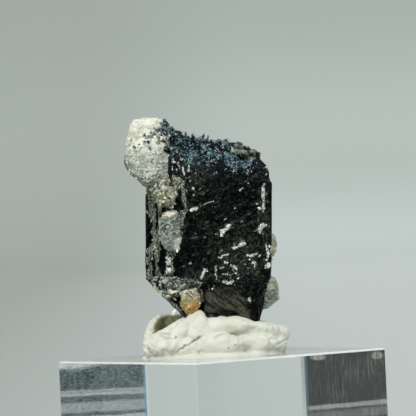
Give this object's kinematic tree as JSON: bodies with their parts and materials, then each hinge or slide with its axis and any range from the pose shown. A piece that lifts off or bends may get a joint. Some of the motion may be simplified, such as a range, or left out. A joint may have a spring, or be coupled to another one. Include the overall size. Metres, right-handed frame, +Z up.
{
  "type": "fluorite with schorl specimen",
  "caption": "Black columnar schorl crystal with pale fluorite and feldspar, bedded in white mineral tack on a clear square display block.",
  "frame": {"origin": "centre of the display block's underside, on the surface it stands on", "axes": "+Z up; the specimen's front looks along -Y, so the picture looks along +Y with +X to the right"},
  "size_m": [0.0528, 0.0528, 0.0582],
  "materials": {
    "schorl": "glassy black, striated",
    "feldspar": "granular, matt",
    "fluorite": "cloudy, faintly see-through",
    "clear_fluorite": "see-through, greenish",
    "stained_fluorite": "waxy, yellow stained",
    "matrix": "granular crust",
    "tack": "soft, matt, thumbed",
    "acrylic": "polished, clear"
  },
  "bodies": {
    "root": {"schorl_crystal": "schorl", "feldspar_cap": "feldspar", "feldspar_chip": "feldspar", "fluorite_upper": "fluorite", "fluorite_middle": "fluorite", "fluorite_stained": "stained_fluorite", "fluorite_right": "clear_fluorite", "hyalite_crust": "stained_fluorite", "matrix_upper": "matrix", "matrix_lower": "matrix", "putty": "tack", "display_block": "acrylic"}
  },
  "joints": []
}
